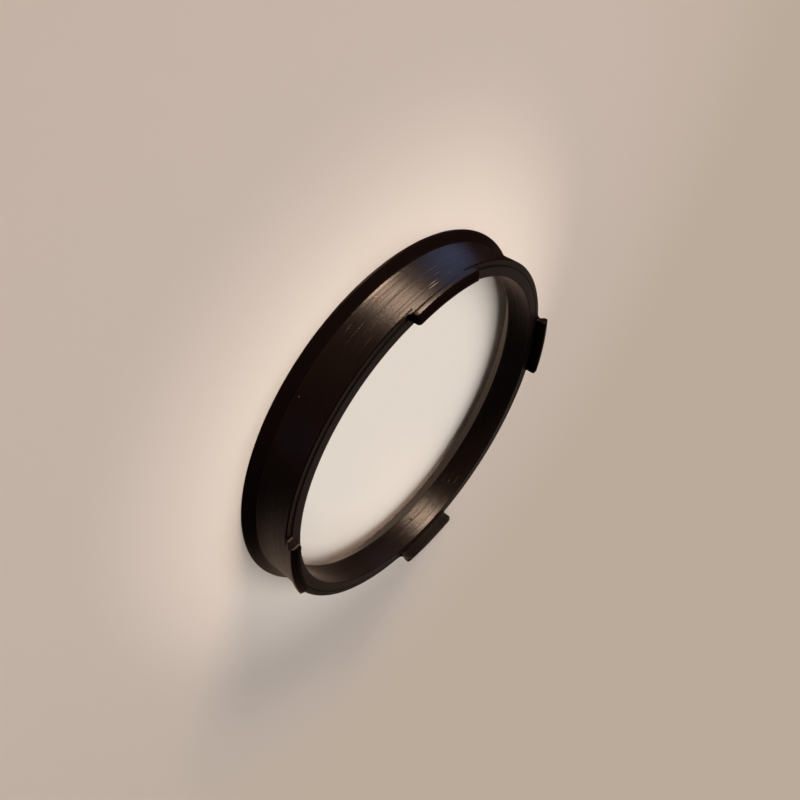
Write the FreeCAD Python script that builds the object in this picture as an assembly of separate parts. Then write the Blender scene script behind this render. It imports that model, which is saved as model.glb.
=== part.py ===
import FreeCAD, Part
import math
import os
from FreeCAD import Vector

# Hub centric ring: one moulded plastic ring that centres a wheel's bore on a smaller hub.
# Frame, in mm: the ring's axis is Z, its flared back lip lies on Z = 0 and the four clips
# point up. One clip is centred on +X.

# Fit sizes: the hub goes into the bore, the wheel's bore goes over the seat.
BORE_DIAMETER = 64.1
WALL = 3.0

# Heights above the back face
BODY_HEIGHT = 8.4
LIP_HEIGHT = 1.65

# Flared lip at the back
LIP_OVERHANG = 1.75
LIP_LAND = 1.05
LIP_EDGE = 0.3
LIP_EDGE_ROUND = 0.12
LIP_ROOT_ROUND = 0.5
BACK_FLARE_HEIGHT = 2.95

# Front face: a proud inner land, a shallow outer ledge and broken edges
LAND_WIDTH = 1.95
LEDGE_DEPTH = 0.12
OUTER_EDGE_CHAMFER = 0.18
BORE_EDGE_CHAMFER = 0.12

# Clips: a neck that runs on from the seat, with a hooked nose that snaps behind the wheel
CLIP_COUNT = 4
CLIP_WIDTH = 14.2
CLIP_REACH = 2.25
HOOK_PROUD = 0.6
HOOK_LAND = 0.7
NOSE_DROP = 0.52
NOSE_FLAT = 0.7
NOSE_INNER_ROUND = 0.15
HOOK_ROUND = 0.12
CLIP_CORNER_ROUND = 0.6
CLIP_ROOT_ROUND = 0.5

# Derived radii and heights
BORE_RADIUS = BORE_DIAMETER / 2
SEAT_RADIUS = BORE_RADIUS + WALL
LIP_RADIUS = SEAT_RADIUS + LIP_OVERHANG
LAND_RADIUS = BORE_RADIUS + LAND_WIDTH
LEDGE_HEIGHT = BODY_HEIGHT - LEDGE_DEPTH
HOOK_RADIUS = SEAT_RADIUS + HOOK_PROUD
CLIP_TOP = BODY_HEIGHT + CLIP_REACH
HOOK_FRONT = CLIP_TOP - NOSE_DROP
HOOK_BACK = HOOK_FRONT - HOOK_LAND
NECK_TOP = HOOK_BACK - HOOK_PROUD

AXIS = Vector(0, 0, 1)
ORIGIN = Vector(0, 0, 0)


def rounded_outline(corners, place):
    """Close an outline through corners given as (a, b, radius), each round a true arc."""
    edges = []
    starts = []
    ends = []
    count = len(corners)
    for i in range(count):
        before = Vector(corners[i - 1][0], corners[i - 1][1], 0)
        here = Vector(corners[i][0], corners[i][1], 0)
        after = Vector(corners[(i + 1) % count][0], corners[(i + 1) % count][1], 0)
        radius = corners[i][2]
        if radius == 0:
            starts.append(here)
            ends.append(here)
            continue
        to_before = (before - here).normalize()
        to_after = (after - here).normalize()
        half_angle = to_before.getAngle(to_after) / 2
        back_off = radius / math.tan(half_angle)
        middle = (to_before + to_after).normalize()
        centre = here + middle * (radius / math.sin(half_angle))
        first = here + to_before * back_off
        last = here + to_after * back_off
        crown = centre - middle * radius
        edges.append(Part.Arc(place(first), place(crown), place(last)).toShape())
        starts.append(first)
        ends.append(last)
    for i in range(count):
        leave = ends[i - 1]
        arrive = starts[i]
        if leave.distanceToPoint(arrive) > 0.001:
            edges.append(Part.makeLine(place(leave), place(arrive)))
    return Part.Wire(Part.__sortEdges__(edges))


def turned(corners):
    """Turn a section, given as (radius, height, round), about the ring's axis."""
    wire = rounded_outline(corners, lambda p: Vector(p.x, 0, p.y))
    return Part.Face(wire).revolve(ORIGIN, AXIS, 360)


# The ring: bore, flared mouth, lip, seat and stepped front face, as one turned section
ring = turned([
    (BORE_RADIUS, BACK_FLARE_HEIGHT, 0),
    (LIP_RADIUS - LIP_LAND, 0, LIP_EDGE_ROUND),
    (LIP_RADIUS, 0, LIP_EDGE_ROUND),
    (LIP_RADIUS, LIP_EDGE, LIP_EDGE_ROUND),
    (SEAT_RADIUS, LIP_HEIGHT, LIP_ROOT_ROUND),
    (SEAT_RADIUS, LEDGE_HEIGHT - OUTER_EDGE_CHAMFER, 0),
    (SEAT_RADIUS - OUTER_EDGE_CHAMFER, LEDGE_HEIGHT, 0),
    (LAND_RADIUS, LEDGE_HEIGHT, 0),
    (LAND_RADIUS, BODY_HEIGHT, 0),
    (BORE_RADIUS + BORE_EDGE_CHAMFER, BODY_HEIGHT, 0),
    (BORE_RADIUS, BODY_HEIGHT - BORE_EDGE_CHAMFER, 0),
])

# The clips start as one hooked rim that stands in the body and rises all round the land
clip_foot = LEDGE_HEIGHT - OUTER_EDGE_CHAMFER - CLIP_ROOT_ROUND
hooked_rim = turned([
    (LAND_RADIUS, clip_foot, 0),
    (SEAT_RADIUS, clip_foot, 0),
    (SEAT_RADIUS, NECK_TOP, 0),
    (HOOK_RADIUS, HOOK_BACK, HOOK_ROUND),
    (HOOK_RADIUS, HOOK_FRONT, HOOK_ROUND),
    (LAND_RADIUS + NOSE_FLAT, CLIP_TOP, 0),
    (LAND_RADIUS, CLIP_TOP, NOSE_INNER_ROUND),
])

# What is kept of the rim is seen through a window: round at the nose, flared at the root
half_width = CLIP_WIDTH / 2
half_root = half_width + CLIP_ROOT_ROUND
window = rounded_outline([
    (-half_root, clip_foot, 0),
    (half_root, clip_foot, 0),
    (half_root, LEDGE_HEIGHT, 0),
    (half_width, LEDGE_HEIGHT, CLIP_ROOT_ROUND),
    (half_width, CLIP_TOP, CLIP_CORNER_ROUND),
    (-half_width, CLIP_TOP, CLIP_CORNER_ROUND),
    (-half_width, LEDGE_HEIGHT, CLIP_ROOT_ROUND),
    (-half_root, LEDGE_HEIGHT, 0),
], lambda p: Vector(BORE_RADIUS, p.x, p.y))
window_prism = Part.Face(window).extrude(Vector(WALL + 2 * HOOK_PROUD, 0, 0))
clip = hooked_rim.common(window_prism)

# Fuse the clips to the ring, evenly round it
hub_ring = ring
for i in range(CLIP_COUNT):
    placed = clip.copy()
    placed.rotate(ORIGIN, AXIS, i * 360 / CLIP_COUNT)
    hub_ring = hub_ring.fuse(placed)
hub_ring = hub_ring.removeSplitter()
hub_ring = hub_ring.Solids[0]

os.makedirs("parts", exist_ok=True)
hub_ring.exportStep("parts/hub_ring.step")
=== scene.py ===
import math

import bmesh
import bpy
from mathutils import Matrix, Vector


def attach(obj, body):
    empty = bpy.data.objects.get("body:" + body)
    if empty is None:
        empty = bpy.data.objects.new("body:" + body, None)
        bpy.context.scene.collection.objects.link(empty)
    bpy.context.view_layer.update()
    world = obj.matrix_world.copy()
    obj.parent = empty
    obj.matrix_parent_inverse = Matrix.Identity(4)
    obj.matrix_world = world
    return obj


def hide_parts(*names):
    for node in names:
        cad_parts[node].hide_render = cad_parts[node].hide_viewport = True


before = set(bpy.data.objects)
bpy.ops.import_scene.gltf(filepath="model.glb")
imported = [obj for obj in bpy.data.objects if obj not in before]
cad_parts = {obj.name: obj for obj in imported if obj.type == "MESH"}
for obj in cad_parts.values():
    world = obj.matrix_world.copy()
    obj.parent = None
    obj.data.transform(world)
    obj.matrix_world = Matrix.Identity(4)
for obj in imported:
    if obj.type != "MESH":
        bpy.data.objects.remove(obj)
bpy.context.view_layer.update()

# ---------------------------------------------------------------------------
# Ring. One injection moulded piece of black glass filled nylon: the bore that goes over the
# hub, the seat that goes into the wheel, a flared lip behind and four snap clips in front.
# It is turned true after moulding, which leaves fine lines round the seat and the bore.
# ---------------------------------------------------------------------------
MM = 0.001
HAIR = 0.001  # in mm: two places this close together are the same place

bore_radius = 32.05
seat_radius = 35.05
lip_radius = 36.8
land_radius = 34.0
body_height = 8.4
ledge_height = 8.28
lip_height = 1.65
lip_edge = 0.3
lip_land = 1.05
flare_height = 2.95
edge_break = 0.18
# The front face steps down at the land's radius; a strip this wide along the step is painted
# shade: it takes the darker, dull matt finish.
step_shade_width = 0.24

hook_radius = 35.65
nose_radius = 34.7
neck_top = 8.83
hook_back = 9.43
hook_front = 10.13
clip_top = 10.65
clip_half_width = 7.1
clip_edge_round = 0.08
# The clip's root is flared: this much wider on each side at the ledge, at the body's height
# and a little above.
flare_at_ledge = 0.5
flare_at_body = 0.175
flare_above = 0.067
# The clip's nose is rounded off: height, outer radius, and how much narrower on each side.
nose_curve = (
    (10.35, 35.248, 0.08),
    (10.5, 34.974, 0.2),
    (10.6, 34.79, 0.36),
    (clip_top, nose_radius, 0.6),
)

steps = 200
step_angle = math.tau / steps
clip_steps = 13

# The wall's section, one corner at a time from the bore's back edge: radius, height, and the
# size of the round on that corner.
corners = (
    (bore_radius, flare_height, 0.1),
    (lip_radius - lip_land, 0.0, 0.12),
    (lip_radius, 0.0, 0.12),
    (lip_radius, lip_edge, 0.12),
    (seat_radius, lip_height, 0.3),
    (seat_radius, ledge_height, 0.0),
    (land_radius, ledge_height, 0.0),
    (land_radius, body_height, 0.0),
    (land_radius - step_shade_width, body_height, 0.0),
    (bore_radius, body_height, 0.12),
)
shell = bmesh.new()
outline = [shell.verts.new((r * MM, 0, z * MM)) for r, z, _ in corners]
shell.faces.new(outline)
for size in sorted({c[2] for c in corners} - {0.0}):
    rounded = [v for v, c in zip(outline, corners) if c[2] == size]
    bmesh.ops.bevel(shell, geom=rounded, offset=size * MM, offset_type="OFFSET", segments=3,
                    profile=0.5, affect="VERTICES", material=-1)
bmesh.ops.delete(shell, geom=shell.faces[:], context="FACES_ONLY")
# Short lengths along the section keep the shading of the flat walls flat.
for shortest, cuts in ((4.0, 9), (1.2, 3)):
    long_runs = [e for e in shell.edges if e.calc_length() > shortest * MM]
    bmesh.ops.subdivide_edges(shell, edges=long_runs, cuts=cuts)

# The section starts half a step round, so that each clip covers a whole number of steps.
bmesh.ops.rotate(shell, verts=shell.verts[:], cent=(0, 0, 0),
                 matrix=Matrix.Rotation(step_angle / 2, 3, "Z"))
bmesh.ops.spin(shell, geom=shell.verts[:] + shell.edges[:], cent=(0, 0, 0), axis=(0, 0, 1),
               angle=math.tau, steps=steps, use_merge=True)
bmesh.ops.recalc_face_normals(shell, faces=shell.faces[:])


def clip_offset(point):
    """Angle from the middle of the nearest clip."""
    angle = math.atan2(point.y, point.x)
    return (angle + math.pi / 4) % (math.pi / 2) - math.pi / 4


def radius_of(point):
    """Distance from the ring's axis, in mm."""
    return math.hypot(point.x, point.y) / MM


def turn_to_side(offset, half_width, radius):
    """Turn that takes a point beside a clip to the clip's side, at this half width."""
    return math.copysign(math.asin(half_width / radius), offset) - offset


# The clips are drawn up out of the ledge, level by level: height, outer radius, and half the
# width.
reach = step_angle * clip_steps / 2
tops = []
for f in shell.faces:
    middle = f.calc_center_median()
    on_ledge = f.normal.z > 0.9 and land_radius < radius_of(middle) < seat_radius
    if on_ledge and middle.z > lip_height * 2 * MM and abs(clip_offset(middle)) < reach:
        tops.append(f)
levels = [
    (ledge_height, seat_radius, clip_half_width + flare_at_ledge),
    (body_height, seat_radius, clip_half_width + flare_at_body),
    (ledge_height + 0.25, seat_radius, clip_half_width + flare_above),
    (neck_top, seat_radius, clip_half_width),
    (hook_back, hook_radius, clip_half_width),
    (hook_front, hook_radius, clip_half_width),
]
for height, outer, narrower in nose_curve:
    levels.append((height, outer, clip_half_width - narrower))
for height, outer, half_width in levels:
    if height > ledge_height:
        grown = bmesh.ops.extrude_face_region(shell, geom=tops)["geom"]
        bmesh.ops.delete(shell, geom=tops, context="FACES_KEEP_BOUNDARY")
        tops = [g for g in grown if isinstance(g, bmesh.types.BMFace)]
    for v in {v for f in tops for v in f.verts}:
        offset = clip_offset(v.co)
        is_outer = radius_of(v.co) > (land_radius + nose_radius) / 2
        radius = outer if is_outer else land_radius
        at_side = abs(offset) > reach - step_angle / 2
        turn = turn_to_side(offset, half_width, radius) if at_side else 0
        spread = radius / radius_of(v.co)
        moved = Vector((v.co.x * spread, v.co.y * spread, height * MM))
        v.co = Matrix.Rotation(turn, 3, "Z") @ moved

# The land beside a clip's foot follows its flare. Behind the foot the step of the front face
# is gone: both skins there come out.
inside = []
for f in shell.faces:
    middle = f.calc_center_median()
    low = ledge_height * MM < middle.z < body_height * MM
    if low and abs(radius_of(middle) - land_radius) < 0.02 and abs(clip_offset(middle)) < reach:
        inside.append(f)
bmesh.ops.delete(shell, geom=inside, context="FACES")
for v in shell.verts:
    at_height = abs(v.co.z - body_height * MM) < HAIR * MM
    at_step = at_height and abs(radius_of(v.co) - land_radius) < HAIR
    offset = clip_offset(v.co)
    if at_step and abs(abs(offset) - reach) < 0.0001:
        turn = turn_to_side(offset, clip_half_width + flare_at_body, land_radius)
        v.co = Matrix.Rotation(turn, 3, "Z") @ v.co
bmesh.ops.remove_doubles(shell, verts=shell.verts[:], dist=2 * HAIR * MM)
bmesh.ops.recalc_face_normals(shell, faces=shell.faces[:])

# Break the outer edge of the ledge between the clips.
outer_edge = []
for e in shell.edges:
    level = all(abs(v.co.z - ledge_height * MM) < HAIR * MM for v in e.verts)
    if level and all(radius_of(v.co) > seat_radius - 0.01 for v in e.verts):
        outer_edge.append(e)
bmesh.ops.bevel(shell, geom=outer_edge, offset=edge_break * MM, offset_type="OFFSET", segments=1,
                profile=0.5, affect="EDGES", material=-1)

# Take the sharpness off the edges of the clips, from just above the body to the nose.
clip_edges = []
for e in shell.edges:
    on_clip = min(v.co.z for v in e.verts) >= (body_height + 0.05) * MM
    if on_clip and e.calc_face_angle(0) > math.radians(35):
        clip_edges.append(e)
bmesh.ops.bevel(shell, geom=clip_edges, offset=clip_edge_round * MM, offset_type="OFFSET",
                segments=2, profile=0.5, affect="EDGES", clamp_overlap=True, material=-1)

bmesh.ops.remove_doubles(shell, verts=shell.verts[:], dist=HAIR / 2 * MM)
bmesh.ops.recalc_face_normals(shell, faces=shell.faces[:])
for f in shell.faces:
    f.smooth = True
for e in shell.edges:
    e.smooth = e.calc_face_angle(0) < math.radians(40)

# The seat, the bore and the hooks are turned. The lip, the broken edges, the step, and the clips'
# ends, catches and noses keep their matt moulded finish, and the front face is satin. The strip
# along the step takes the darker matt finish too, as painted shade for the step. The clips' ends
# are shaded flat, because the small rounds beside them would bend their shade.
turned_finish, matt_finish, satin_finish = 0, 1, 2
straight = 0.9
for f in shell.faces:
    middle = f.calc_center_median()
    radius, z = radius_of(middle), middle.z / MM
    upward = f.normal.z
    outward = (f.normal.x * middle.x + f.normal.y * middle.y) / (radius * MM)
    sideways = abs(f.normal.x * middle.y - f.normal.y * middle.x) / (radius * MM)
    above_ledge = z > ledge_height
    lip = radius > seat_radius + 0.12 and z < lip_height
    broken_edge = 0.2 < upward < straight and ledge_height - edge_break < z < body_height
    step = outward > straight and radius < land_radius + 0.02 and above_ledge
    # Painted shade: the strip along the step gets the darker matt finish.
    step_shade = land_radius - step_shade_width < radius < land_radius and z > body_height - 0.01
    clip_end = sideways > 0.2 and above_ledge
    catch = upward < -0.3 and above_ledge
    nose = upward > 0.3 and z > hook_front - 0.1
    if sideways > straight and above_ledge:
        f.smooth = False
    if lip or broken_edge or step or step_shade or clip_end or catch or nose:
        f.material_index = matt_finish
    elif upward > straight:
        f.material_index = satin_finish
    else:
        f.material_index = turned_finish

# A flat map of the wall, in metres: once round the ring by the distance across its section. It
# is cut between two clips.
wall_map = shell.loops.layers.uv.new("wall")
seam_azimuth = 225
seam = math.radians(seam_azimuth)
for f in shell.faces:
    middle = f.calc_center_median()
    around = (math.atan2(middle.y, middle.x) - seam) % math.tau
    for loop in f.loops:
        co = loop.vert.co
        past = (math.atan2(co.y, co.x) - seam - around + math.pi) % math.tau - math.pi
        loop[wall_map].uv = ((around + past) * seat_radius * MM, radius_of(co) * MM - co.z)

ring_mesh = bpy.data.meshes.new("ring")
shell.to_mesh(ring_mesh)
shell.free()
ring = bpy.data.objects.new("ring", ring_mesh)
bpy.context.scene.collection.objects.link(ring)


def linear(hex_colour):
    """A colour written as sRGB, turned to the linear values that a shader takes."""
    parts = [int(hex_colour[i:i + 2], 16) / 255 for i in (1, 3, 5)]
    return tuple(p / 12.92 if p <= 0.04045 else ((p + 0.055) / 1.055) ** 2.4 for p in parts) + (1,)


def add(tree, kind, links=None, **settings):
    """Add one node: settings are its properties, or values of its input sockets by name."""
    node = tree.nodes.new(kind)
    for name, value in settings.items():
        setattr(node, name, value)
    for socket, source in (links or {}).items():
        if isinstance(source, bpy.types.NodeSocket):
            tree.links.new(source, node.inputs[socket])
        else:
            node.inputs[socket].default_value = source
    return node


def bare_tree(owner):
    """Turn on the nodes of a material or a world, and clear them."""
    owner.use_nodes = True
    owner.node_tree.nodes.clear()
    return owner.node_tree


def nylon_colour(darker, lighter):
    """Near black that drifts between two shades, in clouds of about 5 mm."""
    clouds = add(tree, "ShaderNodeTexNoise", {
        "Vector": place, "Scale": 1 / (5 * MM), "Detail": 2.0, "Roughness": 0.5})
    # A Mix node takes its two colours at inputs 6 and 7, and gives the mixed one at output 2.
    colour = add(tree, "ShaderNodeMix", {
        0: clouds.outputs["Fac"], 6: linear(darker), 7: linear(lighter)}, data_type="RGBA")
    return colour.outputs[2]


nylon_ior = 1.53

# Black glass filled nylon, moulded and then turned true. It is near black with a faint brown
# cast and a satin gloss. The lines of the turning run round the ring and draw each highlight
# out across the wall; a few fine scratches from handling lie over them.
nylon = bpy.data.materials.new("black glass filled nylon, turned")
tree = bare_tree(nylon)
place = add(tree, "ShaderNodeTexCoord").outputs["Object"]
split = add(tree, "ShaderNodeSeparateXYZ", {"Vector": place})
flat = add(tree, "ShaderNodeCombineXYZ", {
    "X": split.outputs["X"], "Y": split.outputs["Y"], "Z": 0.0})
from_axis = add(tree, "ShaderNodeVectorMath", {0: flat.outputs[0]}, operation="LENGTH")
# This distance grows along the wall's section and stays the same round the ring.
across = add(tree, "ShaderNodeMath", {
    0: from_axis.outputs["Value"], 1: split.outputs["Z"]}, operation="SUBTRACT")
round_place = add(tree, "ShaderNodeCombineXYZ", {
    "X": split.outputs["X"], "Y": split.outputs["Y"], "Z": across.outputs[0]})


def turned_lines(length, pitch, detail):
    """Uneven lines round the ring. Length and pitch of the lines are in mm."""
    long, fine = 1 / (length * MM), 1 / (pitch * MM)
    drawn = add(tree, "ShaderNodeVectorMath", {
        0: round_place.outputs[0], 1: (long, long, fine)}, operation="MULTIPLY")
    noise = add(tree, "ShaderNodeTexNoise", {
        "Vector": drawn.outputs[0], "Scale": 1.0, "Detail": detail, "Roughness": 0.6})
    return noise.outputs["Fac"]


def mark(azimuth, across_wall, length, width, turn=0.0):
    """One scratch or dent: where it is (degrees round, mm across the wall), its size in mm."""
    around = math.radians((azimuth - seam_azimuth) % 360) * seat_radius
    laid = add(tree, "ShaderNodeMapping", {
        "Vector": on_wall,
        "Location": (around * MM, across_wall * MM, 0.0),
        "Rotation": (0.0, 0.0, math.radians(turn)),
        "Scale": (length / 2 * MM, width / 2 * MM, 1.0)}, vector_type="TEXTURE")
    off = add(tree, "ShaderNodeVectorMath", {0: laid.outputs[0]}, operation="LENGTH")
    cut = add(tree, "ShaderNodeMapRange", {
        "Value": off.outputs["Value"], "From Min": 1.0, "From Max": 0.4})
    return cut.outputs["Result"]


def total(*values):
    """Sum of several values, each given with its weight."""
    so_far = 0.0
    for value, weight in values:
        weighed = add(tree, "ShaderNodeMath", {0: value, 1: weight, 2: so_far},
                      operation="MULTIPLY_ADD")
        so_far = weighed.outputs[0]
    return so_far


# A turned finish has lines about 0.1 mm apart. They are drawn at 0.6 mm, so that they show.
fine_lines = turned_lines(18.0, 0.6, 3.0)
tool_waves = turned_lines(40.0, 1.3, 1.0)
mottle = add(tree, "ShaderNodeTexNoise", {
    "Vector": place, "Scale": 1 / (0.7 * MM), "Detail": 2.0, "Roughness": 0.5})

# Scuffs, 5 mm long and 0.14 mm wide, lie nearly along the turned lines. Real ones are finer.
# The location only picks the stretch of the noise that they come from.
scuff_length, scuff_width, scuff_turn = 5.0, 0.14, 12
on_wall = add(tree, "ShaderNodeUVMap", uv_map="wall").outputs["UV"]
scuffed = add(tree, "ShaderNodeMapping", {
    "Vector": on_wall,
    "Location": (8.4, 0.0, 0.0),
    "Rotation": (0.0, 0.0, math.radians(scuff_turn)),
    "Scale": (1 / (scuff_length * MM), 1 / (scuff_width * MM), 1.0)})
scuff_noise = add(tree, "ShaderNodeTexNoise", {
    "Vector": scuffed.outputs[0], "Scale": 1.0, "Detail": 1.0, "Roughness": 0.5})
scuffs = add(tree, "ShaderNodeMapRange", {
    "Value": scuff_noise.outputs["Fac"], "From Min": 0.68, "From Max": 0.74})

# Marks from handling: two long scratches at a clip's foot, a few short ticks and a speck on
# the seat, and a streak with a small dent in the bore. Each has its strength after it.
worn = total(
    (mark(270.7, 27.5, 2.7, 0.16, 1.5), 0.8), (mark(269.9, 28.0, 2.2, 0.14, 1.5), 0.6),
    (mark(281.9, 32.6, 1.3, 0.2, 62), 0.8), (mark(281.2, 31.9, 0.9, 0.18, -35), 0.8),
    (mark(282.4, 31.6, 0.8, 0.16, 70), 0.6), (mark(280.6, 32.9, 0.7, 0.16, 20), 0.5),
    (mark(312.1, 32.7, 0.35, 0.3), 0.3), (mark(90.0, 25.7, 2.8, 0.22, 90), 0.4))
dent = mark(90.2, 27.4, 0.7, 0.6)
surface = total((fine_lines, 1.0), (tool_waves, 0.9), (mottle.outputs["Fac"], 0.12),
                (scuffs.outputs["Result"], -0.1), (worn, 0.3), (dent, -1.0))
relief = add(tree, "ShaderNodeBump", {"Height": surface, "Strength": 1.0, "Distance": 0.1 * MM})
gloss = add(tree, "ShaderNodeMapRange", {"Value": fine_lines, "To Min": 0.3, "To Max": 0.5})
# A scratch shows the plastic's paler inside.
colour = add(tree, "ShaderNodeMix", {
    0: worn, 6: nylon_colour("#0D0808", "#130C0A"), 7: linear("#8C7A6C")}, data_type="RGBA")

# Direction round the ring, which the turned lines follow.
minus_y = add(tree, "ShaderNodeMath", {0: split.outputs["Y"], 1: -1.0}, operation="MULTIPLY")
round_ring = add(tree, "ShaderNodeCombineXYZ", {
    "X": minus_y.outputs[0], "Y": split.outputs["X"], "Z": 0.0})
tangent = add(tree, "ShaderNodeVectorMath", {0: round_ring.outputs[0]}, operation="NORMALIZE")
plastic = add(tree, "ShaderNodeBsdfPrincipled", {
    "Base Color": colour.outputs[2],
    "Roughness": gloss.outputs["Result"],
    "IOR": nylon_ior,
    "Anisotropic": 0.9,
    "Anisotropic Rotation": 0.25,
    "Tangent": tangent.outputs[0],
    "Normal": relief.outputs[0],
})
add(tree, "ShaderNodeOutputMaterial", {"Surface": plastic.outputs[0]})
ring.data.materials.append(nylon)

# The same nylon as it comes from the mould, on the lip and the clips' ends: the fine grain of
# a spark eroded mould holds little gloss, so it stays dark where the turned seat shines.
moulded = bpy.data.materials.new("black glass filled nylon, matt moulded")
tree = bare_tree(moulded)
place = add(tree, "ShaderNodeTexCoord").outputs["Object"]
grain = add(tree, "ShaderNodeTexNoise", {
    "Vector": place, "Scale": 1 / (0.25 * MM), "Detail": 2.0, "Roughness": 0.6})
relief = add(tree, "ShaderNodeBump", {
    "Height": grain.outputs["Fac"], "Strength": 0.4, "Distance": 0.02 * MM})
gloss = add(tree, "ShaderNodeMapRange", {
    "Value": grain.outputs["Fac"], "To Min": 0.32, "To Max": 0.44})
plastic = add(tree, "ShaderNodeBsdfPrincipled", {
    "Base Color": nylon_colour("#080404", "#0C0605"),
    "Roughness": gloss.outputs["Result"],
    "IOR": nylon_ior,
    "Specular IOR Level": 0.06,
    "Normal": relief.outputs[0],
})
add(tree, "ShaderNodeOutputMaterial", {"Surface": plastic.outputs[0]})
ring.data.materials.append(moulded)

# The same nylon on the flat front face, from a smoother part of the mould: an even satin with a
# slight orange peel and no turned lines, so its gloss is the same all round.
satin = bpy.data.materials.new("black glass filled nylon, satin moulded")
tree = bare_tree(satin)
place = add(tree, "ShaderNodeTexCoord").outputs["Object"]
peel = add(tree, "ShaderNodeTexNoise", {
    "Vector": place, "Scale": 1 / (0.6 * MM), "Detail": 2.0, "Roughness": 0.6})
relief = add(tree, "ShaderNodeBump", {
    "Height": peel.outputs["Fac"], "Strength": 0.5, "Distance": 0.03 * MM})
gloss = add(tree, "ShaderNodeMapRange", {
    "Value": peel.outputs["Fac"], "To Min": 0.4, "To Max": 0.52})
plastic = add(tree, "ShaderNodeBsdfPrincipled", {
    "Base Color": nylon_colour("#0D0808", "#130C0A"),
    "Roughness": gloss.outputs["Result"],
    "IOR": nylon_ior,
    "Normal": relief.outputs[0],
})
add(tree, "ShaderNodeOutputMaterial", {"Surface": plastic.outputs[0]})
ring.data.materials.append(satin)

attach(ring, "root")
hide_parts("hub_ring")

# ---------------------------------------------------------------------------
# Floor. A pale matt paper sweep that the ring lies on, flat in the middle and curved up all
# round into a backdrop.
# ---------------------------------------------------------------------------
sweep_radius = 3.0
sweep_curve = 1.4
half = sweep_radius / 2
sweep = bmesh.new()
profile = [sweep.verts.new((x, 0, z)) for x, z in (
    (0, 0), (half, 0), (sweep_radius, 0), (sweep_radius, half), (sweep_radius, sweep_radius))]
for a, b in zip(profile, profile[1:]):
    sweep.edges.new((a, b))
bmesh.ops.bevel(sweep, geom=[profile[2]], offset=sweep_curve, offset_type="OFFSET", segments=12,
                profile=0.5, affect="VERTICES", material=-1)
bmesh.ops.spin(sweep, geom=sweep.verts[:] + sweep.edges[:], cent=(0, 0, 0), axis=(0, 0, 1),
               angle=math.tau, steps=96, use_merge=True)
bmesh.ops.remove_doubles(sweep, verts=sweep.verts[:], dist=0.0001)
bmesh.ops.recalc_face_normals(sweep, faces=sweep.faces[:])
if sweep.faces[0].normal.z < 0:
    bmesh.ops.reverse_faces(sweep, faces=sweep.faces[:])
for f in sweep.faces:
    f.smooth = True
floor_mesh = bpy.data.meshes.new("floor")
sweep.to_mesh(floor_mesh)
sweep.free()
floor = bpy.data.objects.new("floor", floor_mesh)
bpy.context.scene.collection.objects.link(floor)

# Uncoated paper: no gloss. It is painted paler in the middle of the ring and there also glows a
# little to the camera: painted light that lifts the ring's shadow inside the bore. Further out it
# runs out evenly into the backdrop's own colour, so that no horizon shows. Distances from the
# middle are in metres.
backdrop_colour = "#BBAB9A"
paper = bpy.data.materials.new("pale matt paper")
tree = bare_tree(paper)
seen = add(tree, "ShaderNodeLightPath")
place = add(tree, "ShaderNodeTexCoord").outputs["Object"]
from_middle = add(tree, "ShaderNodeVectorMath", {0: place}, operation="LENGTH").outputs["Value"]
past_ring = add(tree, "ShaderNodeMapRange", {
    "Value": from_middle, "From Min": 0.028, "From Max": 0.065},
    interpolation_type="SMOOTHSTEP").outputs["Result"]
# Painted light: the paper is paler in the middle of the ring, which lifts the ring's shadow there.
paper_with_painted_light = add(tree, "ShaderNodeMix", {
    0: past_ring, 6: linear("#FAF6F0"), 7: linear("#CCC8C6")}, data_type="RGBA")
matt = add(tree, "ShaderNodeBsdfDiffuse", {"Color": paper_with_painted_light.outputs[2]})
tone = add(tree, "ShaderNodeMix", {
    0: past_ring, 6: linear("#F8ECDE"), 7: linear(backdrop_colour)}, data_type="RGBA")
backdrop = add(tree, "ShaderNodeEmission", {"Color": tone.outputs[2], "Strength": 1.0})
run_out = add(tree, "ShaderNodeMapRange", {
    "Value": from_middle, "From Min": 0.03, "From Max": 0.19}, interpolation_type="SMOOTHSTEP")
# Painted light: inside the ring the camera sees up to 0.4 of a warm glow, which lifts the ring's
# shadow there.
painted_light_in_ring = add(tree, "ShaderNodeMapRange", {
    "Value": from_middle, "From Min": 0.032, "From Max": 0.022, "To Max": 0.4})
even = add(tree, "ShaderNodeMath", {
    0: run_out.outputs["Result"], 1: painted_light_in_ring.outputs["Result"]}, operation="MAXIMUM")
even_seen = add(tree, "ShaderNodeMath", {
    0: even.outputs[0], 1: seen.outputs["Is Camera Ray"]}, operation="MULTIPLY")
shown = add(tree, "ShaderNodeMixShader", {
    0: even_seen.outputs[0], 1: matt.outputs[0], 2: backdrop.outputs[0]})


def patch(x, y, half_length, half_width):
    """A soft oval on the floor, 1 in its middle. Its place and size are in metres."""
    laid = add(tree, "ShaderNodeMapping", {
        "Vector": place, "Location": (x, y, 0.0), "Scale": (half_length, half_width, 1.0)},
        vector_type="TEXTURE")
    off = add(tree, "ShaderNodeVectorMath", {0: laid.outputs[0]}, operation="LENGTH")
    soft = add(tree, "ShaderNodeMapRange", {
        "Value": off.outputs["Value"], "From Min": 1.0, "From Max": 0.3})
    return soft.outputs["Result"]


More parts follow.
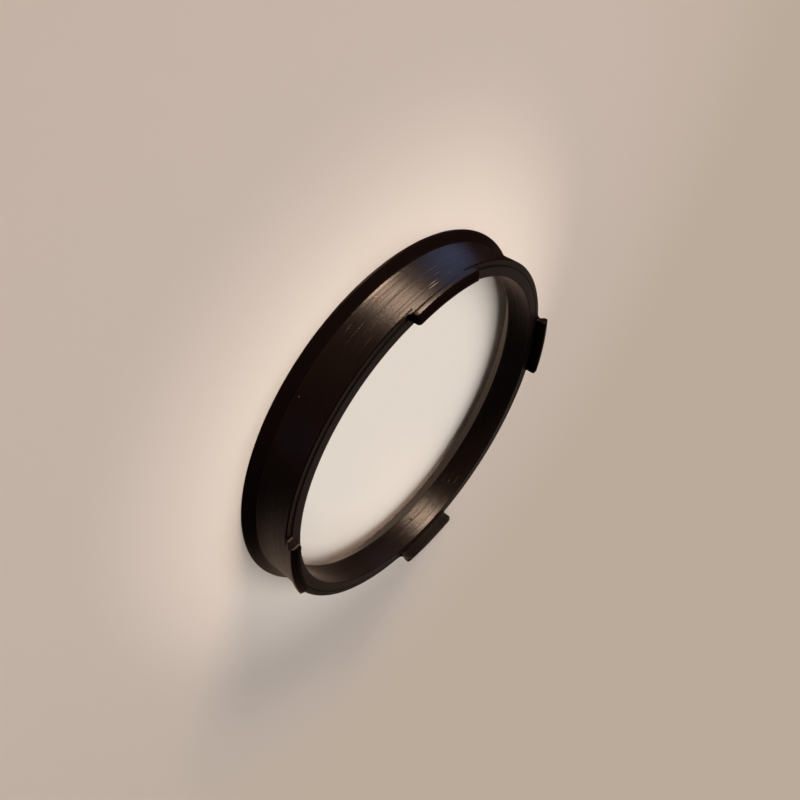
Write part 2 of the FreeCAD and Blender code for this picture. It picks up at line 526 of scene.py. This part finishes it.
# Painted reflections: the floor glows here only for glossy rays, so the ring's black gloss mirrors
# a dark room with a pale strip close under the lip, two warm patches on one side of the ring and
# two cool ones on the other. They paint highlights onto the ring's walls and its back flare.
painted_reflection_under_lip = add(tree, "ShaderNodeMath", {0: from_middle, 1: 0.034, 2: 0.003}, operation="COMPARE")
painted_warm_strength = total(
    (painted_reflection_under_lip.outputs[0], 0.5),
    (patch(0.058, 0.03, 0.034, 0.045), 0.75),
    (patch(0.027, 0.055, 0.022, 0.035), 2.0))
painted_cool_strength = total(
    (patch(-0.0145, -0.0385, 0.012, 0.010), 1.0),
    (patch(0.036, -0.025, 0.007, 0.007), 0.12))
painted_warm_reflection = add(tree, "ShaderNodeEmission", {"Color": linear("#FFD8BC"), "Strength": painted_warm_strength})
painted_cool_reflection = add(tree, "ShaderNodeEmission", {"Color": linear("#95BDFF"), "Strength": painted_cool_strength})
# For glossy rays the floor shows only these painted reflections.
mirrored = add(tree, "ShaderNodeAddShader", {0: painted_warm_reflection.outputs[0], 1: painted_cool_reflection.outputs[0]})
mixed = add(tree, "ShaderNodeMixShader", {
    0: seen.outputs["Is Glossy Ray"], 1: shown.outputs[0], 2: mirrored.outputs[0]})
add(tree, "ShaderNodeOutputMaterial", {"Surface": mixed.outputs[0]})
floor.data.materials.append(paper)

# ---------------------------------------------------------------------------
# Light. A large soft lamp overhead lights the floor and the ring evenly; a warm key and weaker
# fills stand low round the ring, where its upright walls catch them. The room itself is dim.
# ---------------------------------------------------------------------------
world = bpy.data.worlds.new("room")
bpy.context.scene.world = world
tree = bare_tree(world)
seen = add(tree, "ShaderNodeLightPath")
behind = add(tree, "ShaderNodeBackground", {"Color": linear(backdrop_colour), "Strength": 1.0})
dim_room = add(tree, "ShaderNodeBackground", {"Color": linear("#D9CCC0"), "Strength": 0.05})
mixed = add(tree, "ShaderNodeMixShader", {
    0: seen.outputs["Is Camera Ray"], 1: dim_room.outputs[0], 2: behind.outputs[0]})
add(tree, "ShaderNodeOutputWorld", {"Surface": mixed.outputs[0]})


def softbox(name, azimuth, elevation, distance, width, height, colour, watts, mirrored=True):
    """A rectangular lamp that faces the ring from a direction in degrees, sizes in metres."""
    lamp = bpy.data.lights.new(name, "AREA")
    lamp.shape = "RECTANGLE"
    lamp.size = width
    lamp.size_y = height
    lamp.color = linear(colour)[:3]
    lamp.energy = watts
    holder = bpy.data.objects.new(name, lamp)
    a, e = math.radians(azimuth), math.radians(elevation)
    back = Vector((math.cos(a) * math.cos(e), math.sin(a) * math.cos(e), math.sin(e)))
    facing = (-back).to_track_quat("-Z", "Y").to_matrix().to_4x4()
    holder.matrix_world = Matrix.Translation(back * distance) @ facing
    holder.visible_glossy = mirrored
    holder.visible_camera = False
    bpy.context.scene.collection.objects.link(holder)


softbox("overhead", 225, 79, 1.8, 2.0, 2.0, "#FFF8F2", 26.0, mirrored=False)
softbox("key", 252.5, 7, 1.2, 0.34, 0.24, "#FFDABC", 28.0)
softbox("window", 206, 6, 1.2, 0.50, 0.22, "#C8CCFF", 0.6)
softbox("fill", 150, 7, 1.2, 0.5, 0.22, "#FFE0CC", 0.35)
softbox("side fill", 85, 6, 1.2, 1.0, 0.20, "#FFD2B4", 0.6)
softbox("back fill", 122, 26, 1.2, 0.5, 0.35, "#FFE0CC", 0.3)

# ---------------------------------------------------------------------------
# Camera. It stands close to the ring, as the perspective shows, and is rolled so that the ring
# stands up in the frame although it lies on the floor. Its place was fitted to the ring's edges.
# ---------------------------------------------------------------------------
camera = bpy.data.objects.new("camera", bpy.data.cameras.new("camera"))
camera.data.lens = 29.938
camera.data.sensor_width = 36.0
camera.data.clip_start = 0.005
camera.data.clip_end = 10.0
stand = Vector((62.241, -95.642, 54.294)) * MM
aim = Vector((3.648, -10.309, 4.2)) * MM
roll = Matrix.Rotation(math.radians(123.318), 4, "Z")
upright = (aim - stand).to_track_quat("-Z", "Y").to_matrix().to_4x4()
camera.matrix_world = Matrix.Translation(stand) @ upright @ roll
bpy.context.scene.collection.objects.link(camera)
bpy.context.scene.camera = camera
bpy.context.scene.view_settings.view_transform = "Standard"
